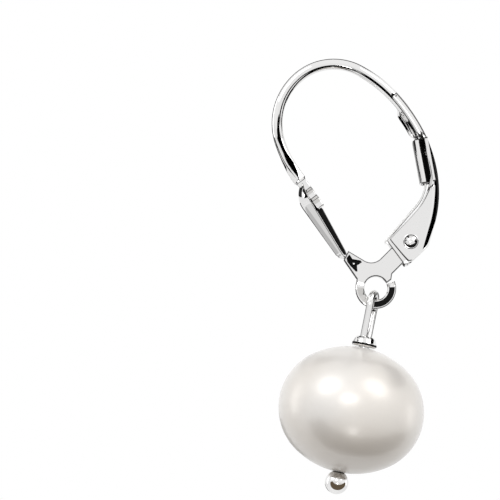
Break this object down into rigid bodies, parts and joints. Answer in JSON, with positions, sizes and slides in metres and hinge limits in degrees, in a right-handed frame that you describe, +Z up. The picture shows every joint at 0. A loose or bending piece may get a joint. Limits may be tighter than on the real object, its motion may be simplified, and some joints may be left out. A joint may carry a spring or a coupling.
{
  "type": "leverback earring",
  "caption": "Leverback earring: ear wire with hollow front shell, hinged sheet lever, and a drilled pearl drop on a link below.",
  "frame": {"origin": "inner top of the ear wire, where it hangs in the ear", "axes": "+Z up along the hanging direction, +X from the front shell to the lever, the flat side of the hook faces -Y"},
  "size_m": [0.0143, 0.01, 0.0295],
  "materials": {
    "silver": "polished",
    "spring_metal": "polished",
    "pearl": "lustrous"
  },
  "bodies": {
    "hook": {"ear_hook": "silver", "hinge_pin": "silver"},
    "lever": {"lever": "silver", "leaf_spring": "spring_metal"},
    "drop": {"head_pin": "silver", "collar_bead": "silver", "pearl": "pearl"}
  },
  "joints": [
    {"name": "lever_hinge", "type": "hinge", "parent": "hook", "child": "lever", "pos_m": [0.00685, 0, -0.01072], "axis": [0, 1, 0], "range_deg": [0, 65]},
    {"name": "drop_swing", "type": "hinge", "parent": "hook", "child": "drop", "pos_m": [0.00513, 0, -0.0154], "axis": [1, 0, 0], "range_deg": [-110, 110]}
  ]
}
